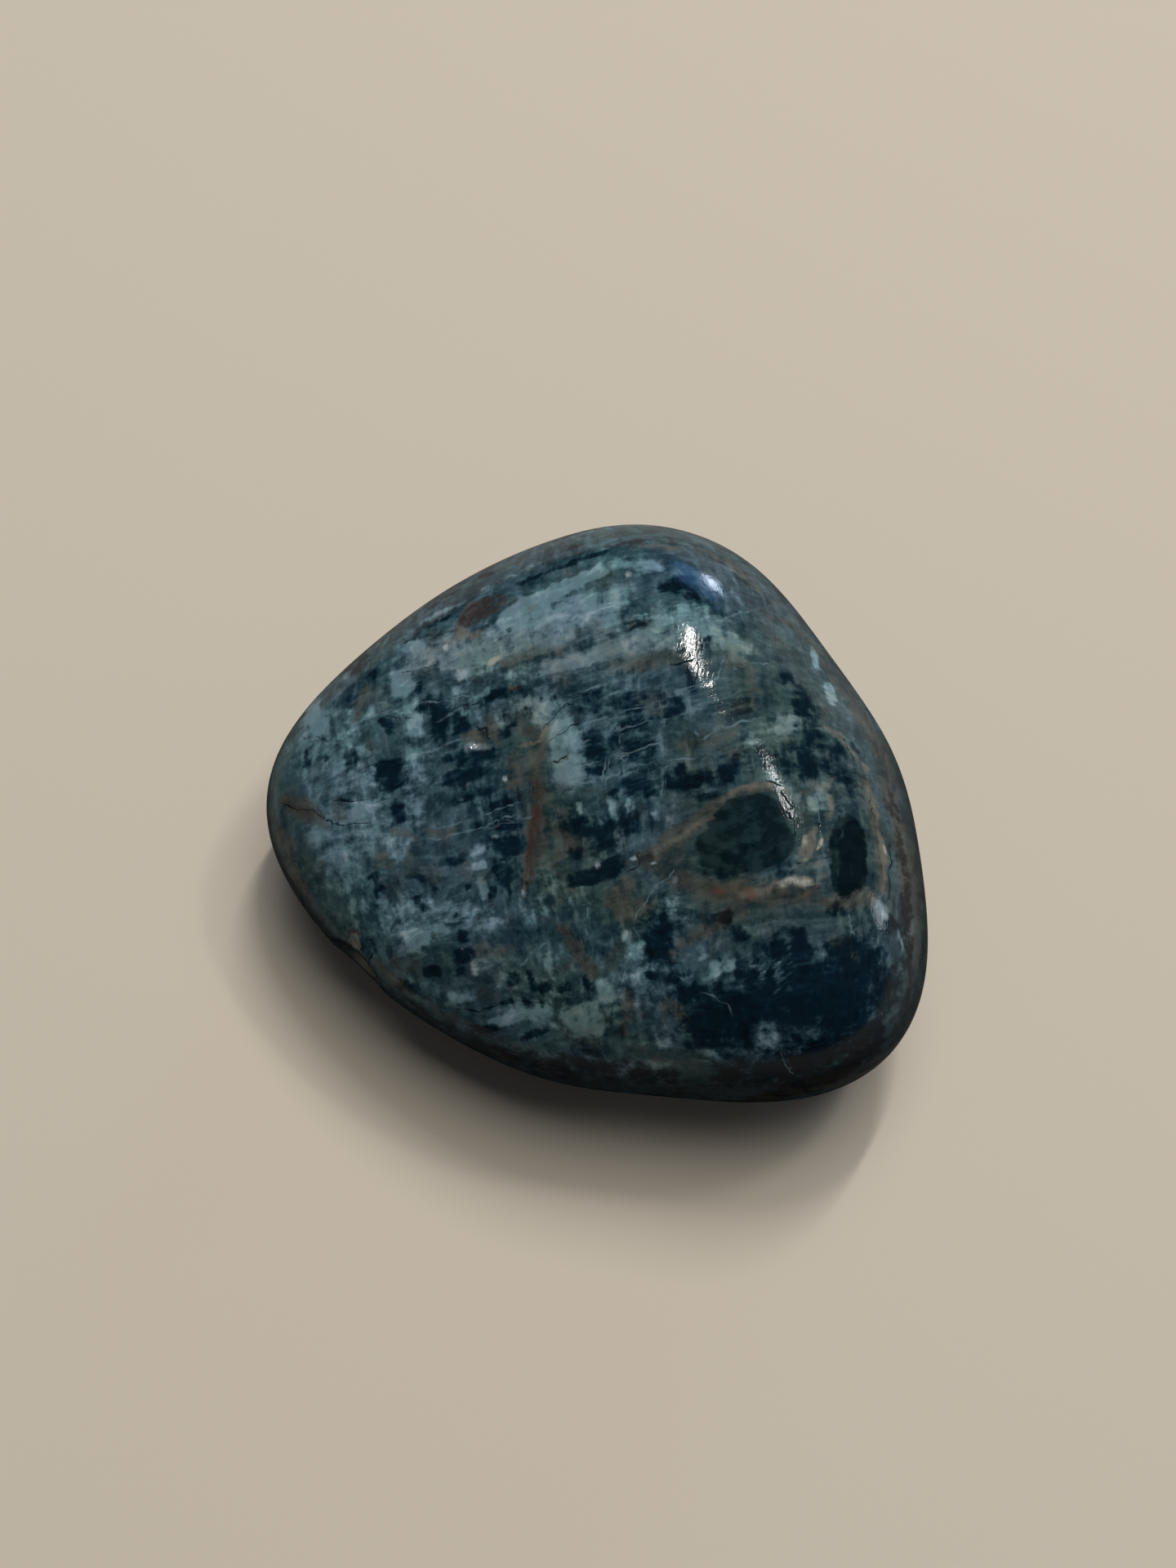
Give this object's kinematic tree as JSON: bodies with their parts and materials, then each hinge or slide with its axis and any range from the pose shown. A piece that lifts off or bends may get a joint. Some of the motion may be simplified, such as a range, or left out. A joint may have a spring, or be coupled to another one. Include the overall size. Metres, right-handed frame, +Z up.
{
  "type": "polished pebble",
  "caption": "Hand-sized polished apatite pebble, wedge-shaped with a rounded-triangular outline, that rests on a worn flat under its belly.",
  "frame": {"origin": "middle of the stone's bounding box in plan, at the height of the flat that it rests on", "axes": "+Z up through the stone's thickness, +X from the thin tip towards the thick flank, along its length"},
  "size_m": [0.052, 0.0472, 0.022],
  "materials": {
    "polished_apatite": "polished to a satin gloss, mottled dark teal, grey-blue and navy with rust-brown veins"
  },
  "bodies": {
    "root": {"apatite_pebble": "polished_apatite"}
  },
  "joints": []
}
